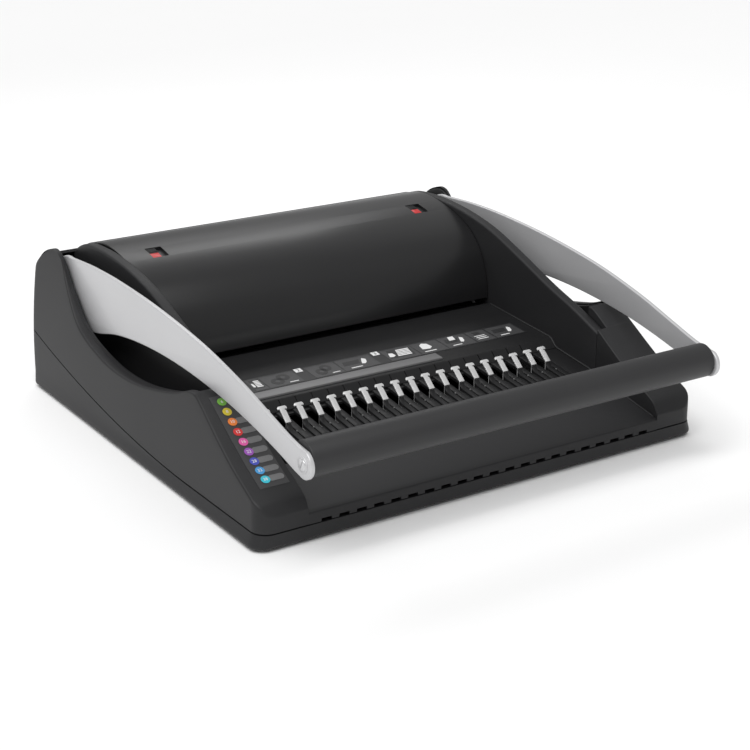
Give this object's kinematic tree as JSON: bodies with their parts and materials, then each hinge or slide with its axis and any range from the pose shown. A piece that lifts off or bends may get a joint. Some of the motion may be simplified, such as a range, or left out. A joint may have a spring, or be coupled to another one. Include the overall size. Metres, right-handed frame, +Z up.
{
  "type": "comb binding machine",
  "caption": "Manual comb binding machine: wide low body with raised cheeks, U-shaped handle on two arms, row of comb hooks, paper deck and curved punch lid.",
  "frame": {"origin": "middle of the bounding box, on the plane the rubber feet rest on", "axes": "+Z up, +Y to the rear of the machine, +X to the right as the user sees it from the front; the grip lies at the -Y side"},
  "size_m": [0.414, 0.4351, 0.1335],
  "materials": {
    "body_plastic": "fine textured charcoal",
    "rubber": "matt",
    "screw_steel": "zinc plated",
    "black_plastic": "moulded, satin",
    "grey_plastic": "moulded, satin",
    "printed_label": "printed film",
    "tool_steel": "machined",
    "hook_silver": "bright plated",
    "arm_silver": "silver paint, satin",
    "grip_plastic": "satin",
    "lid_plastic": "semi-gloss charcoal",
    "red_plastic": "gloss"
  },
  "bodies": {
    "base": {"base_tray": "body_plastic", "foot_front_left": "rubber", "foot_front_right": "rubber", "foot_rear_left": "rubber", "foot_rear_right": "rubber", "base_screw_front_left": "screw_steel", "base_screw_front_right": "screw_steel", "base_screw_rear_left": "screw_steel", "base_screw_rear_right": "screw_steel", "left_cheek": "body_plastic", "right_cheek": "body_plastic", "left_inner_wall": "body_plastic", "right_inner_wall": "body_plastic", "front_apron": "body_plastic", "comb_rack": "black_plastic", "comb_deck": "black_plastic", "gauge_strip": "grey_plastic", "instruction_label": "printed_label", "size_chart_label": "printed_label", "rear_cover": "body_plastic", "left_side_plate": "tool_steel", "right_side_plate": "tool_steel", "left_shaft_bushing": "black_plastic", "right_shaft_bushing": "black_plastic", "die_block": "tool_steel", "punch_guide": "tool_steel", "depth_stop": "black_plastic", "left_bar_guide": "black_plastic", "right_bar_guide": "black_plastic", "left_hinge_pin": "screw_steel", "right_hinge_pin": "screw_steel"},
    "handle": {"left_arm": "arm_silver", "right_arm": "arm_silver", "handle_shaft": "tool_steel", "left_pinion": "tool_steel", "right_pinion": "tool_steel", "left_shaft_screw": "screw_steel", "right_shaft_screw": "screw_steel", "grip_core": "tool_steel", "grip_sleeve": "grip_plastic", "left_grip_screw": "screw_steel", "right_grip_screw": "screw_steel"},
    "punch": {"punch_bar": "tool_steel", "left_punch_rack": "tool_steel", "right_punch_rack": "tool_steel"},
    "hooks": {"hook_bar": "hook_silver", "left_hook_link": "tool_steel", "right_hook_link": "tool_steel"},
    "lid": {"lid": "lid_plastic"},
    "left_latch": {"left_latch_slider": "grey_plastic", "left_latch_flag": "red_plastic"},
    "right_latch": {"right_latch_slider": "grey_plastic", "right_latch_flag": "red_plastic"},
    "chip_drawer": {"chip_tray": "body_plastic"}
  },
  "joints": [
    {"name": "handle_hinge", "type": "hinge", "parent": "base", "child": "handle", "pos_m": [0, 0.1563, 0.096], "axis": [-1, 0, 0], "range_deg": [0, 92]},
    {"name": "punch_slide", "type": "slide", "parent": "base", "child": "punch", "axis": [0, 0, 1], "range_m": [0, 0.0115]},
    {"name": "hook_slide", "type": "slide", "parent": "base", "child": "hooks", "axis": [0, 1, 0], "range_m": [0, 0.0115]},
    {"name": "lid_hinge", "type": "hinge", "parent": "base", "child": "lid", "pos_m": [0, 0.0538, 0.064], "axis": [1, 0, 0], "range_deg": [0, 80]},
    {"name": "left_latch_slide", "type": "slide", "parent": "lid", "child": "left_latch", "axis": [1, 0, 0], "range_m": [0, 0.005]},
    {"name": "right_latch_slide", "type": "slide", "parent": "lid", "child": "right_latch", "axis": [1, 0, 0], "range_m": [0, 0.005]},
    {"name": "chip_tray_slide", "type": "slide", "parent": "base", "child": "chip_drawer", "axis": [0, 1, 0], "range_m": [0, 0.14]}
  ],
  "couplings": [
    {"joint": "punch_slide", "follows": "handle_hinge", "m_per_rad": 0.007},
    {"joint": "hook_slide", "follows": "handle_hinge", "m_per_rad": 0.007}
  ]
}
